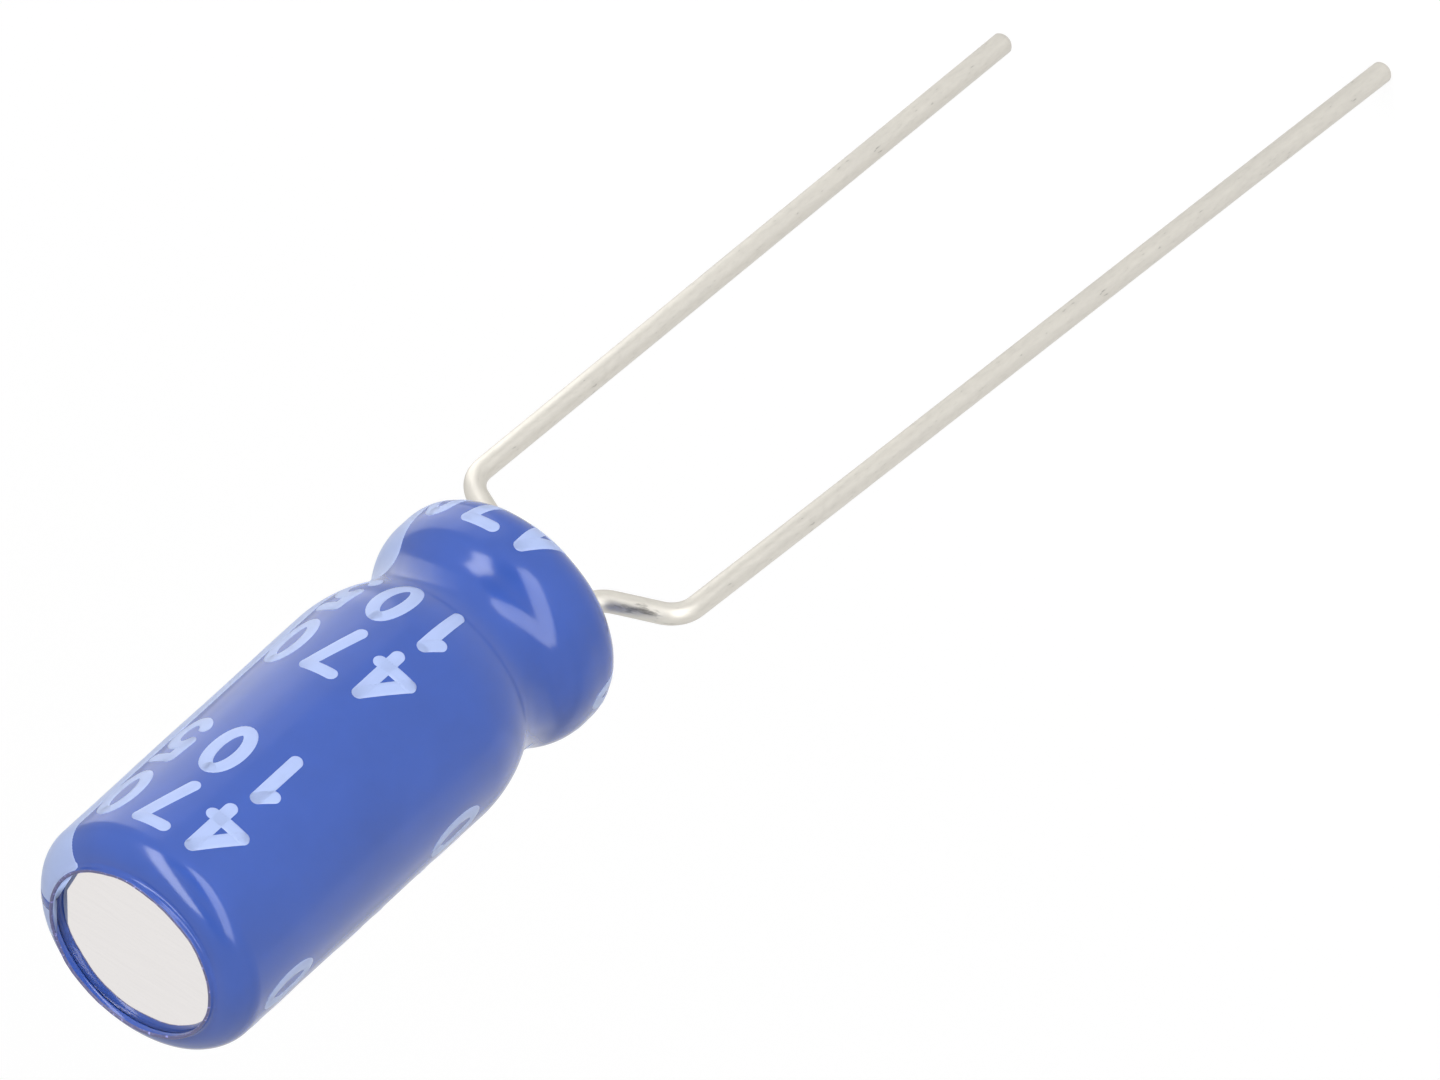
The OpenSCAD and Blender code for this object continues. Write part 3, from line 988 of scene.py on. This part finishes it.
    def room_light(self, tree, stage):
        """Brightness of the surroundings by direction: lower round the camera's place and one elsewhere."""
        way = add_node(tree, "TexCoord", {}).outputs["Generated"]
        back = self.camera_axes(stage)[2]
        toward = add_node(tree, "VectorMath", {0: way, 1: back}, operation="DOT_PRODUCT").outputs["Value"]
        inputs = {
            "Value": toward, "From Min": math.cos(self.ROOM_END), "From Max": math.cos(self.ROOM_EDGE),
            "To Min": 1, "To Max": stage.room,
        }
        return add_node(tree, "MapRange", inputs, interpolation_type="SMOOTHSTEP").outputs["Result"]

    def add_surroundings(self, scene, stage):
        """Dim white lights the part from all round. The camera and reflections see a brighter white."""
        world = bpy.data.worlds.new("surroundings")
        scene.world = world
        world.use_nodes = True
        tree = world.node_tree
        dim = tree.nodes["Background"]
        dim.inputs["Color"].default_value = WHITE
        dim.inputs["Strength"].default_value = stage.ambient
        bright = add_node(tree, "Background", {"Color": WHITE, "Strength": self.room_light(tree, stage)})
        surface = mix_shaders(
            tree, background_share(tree), dim.outputs["Background"], bright.outputs["Background"]
        )
        tree.links.new(surface, tree.nodes["World Output"].inputs["Surface"])

    def add_lamps(self, stage):
        """The key softbox above the front, and the strips and low cards that show in the film's gloss."""
        middle = Vector((0, 0, stage.axis_mid))
        right, up, back = self.camera_axes(stage)
        add_softbox("key_softbox", middle, self.KEY_AWAY, self.AXIS, *self.KEY_SIZE, stage.key, gloss=False)
        for name, strip, brightness in (
            ("left_strip", self.LEFT_STRIP, stage.left_strip),
            ("right_strip", self.RIGHT_STRIP, stage.right_strip),
        ):
            (across, above, behind), distance, size = strip
            away = (across * right + above * up + behind * back) * distance
            add_softbox(name, middle, away, up, *size, brightness, gloss=True)
        level, drop = math.cos(self.LOW_DIP), math.sin(self.LOW_DIP)
        for place, (start, stop, share) in enumerate(self.LOW_CARDS):
            turn, half = math.radians(start + stop) / 2, math.radians(stop - start) / 2
            low = Vector((level * math.cos(turn), level * math.sin(turn), -drop)) * self.LOW_AWAY
            size = (2 * self.LOW_AWAY * math.tan(half), self.LOW_HEIGHT)
            brightness = stage.low_card * share
            add_softbox(f"low_card_{place}", middle, low, self.AXIS, *size, brightness, gloss=True)

    def execute(self, context):
        scene = context.scene
        stage = scene.capacitor_stage
        scene.view_settings.view_transform = "Standard"
        self.add_camera(scene, stage)
        self.add_floor(scene, stage)
        self.add_surroundings(scene, stage)
        self.add_lamps(stage)
        return {"FINISHED"}


STEPS = (
    CAPACITOR_OT_add_sleeve,
    CAPACITOR_OT_add_print,
    CAPACITOR_OT_add_leads,
    CAPACITOR_OT_add_dome,
    CAPACITOR_OT_finish_solids,
    CAPACITOR_OT_set_stage,
)
SETTINGS = {
    "capacitor_sleeve": SleeveSizes,
    "capacitor_print": PrintSizes,
    "capacitor_leads": LeadSizes,
    "capacitor_finish": FinishColours,
    "capacitor_stage": StageSettings,
}


class CAPACITOR_PT_panel(bpy.types.Panel):
    """Steps and sizes of the capacitor's dressing"""

    bl_idname = "CAPACITOR_PT_panel"
    bl_label = "Capacitor"
    bl_space_type = "VIEW_3D"
    bl_region_type = "UI"
    bl_category = "Capacitor"

    def draw(self, context):
        """List the steps, and then the settings in a box for each group."""
        for step in STEPS:
            self.layout.operator(step.bl_idname)
        for name, group in SETTINGS.items():
            box = self.layout.box()
            settings = getattr(context.scene, name)
            for size in group.__annotations__:
                box.prop(settings, size)


def register():
    """Register the settings, the steps and the panel."""
    for name, group in SETTINGS.items():
        bpy.utils.register_class(group)
        setattr(bpy.types.Scene, name, PointerProperty(type=group))
    for step in (*STEPS, CAPACITOR_PT_panel):
        bpy.utils.register_class(step)


def unregister():
    """Undo what register did."""
    for step in (CAPACITOR_PT_panel, *reversed(STEPS)):
        bpy.utils.unregister_class(step)
    for name, group in SETTINGS.items():
        delattr(bpy.types.Scene, name)
        bpy.utils.unregister_class(group)


def main():
    """Run the steps in order."""
    register()
    bpy.ops.capacitor.add_sleeve()
    bpy.ops.capacitor.add_print()
    bpy.ops.capacitor.add_leads()
    bpy.ops.capacitor.add_dome()
    bpy.ops.capacitor.finish_solids()
    bpy.ops.capacitor.set_stage()


if __name__ == "__main__":
    main()
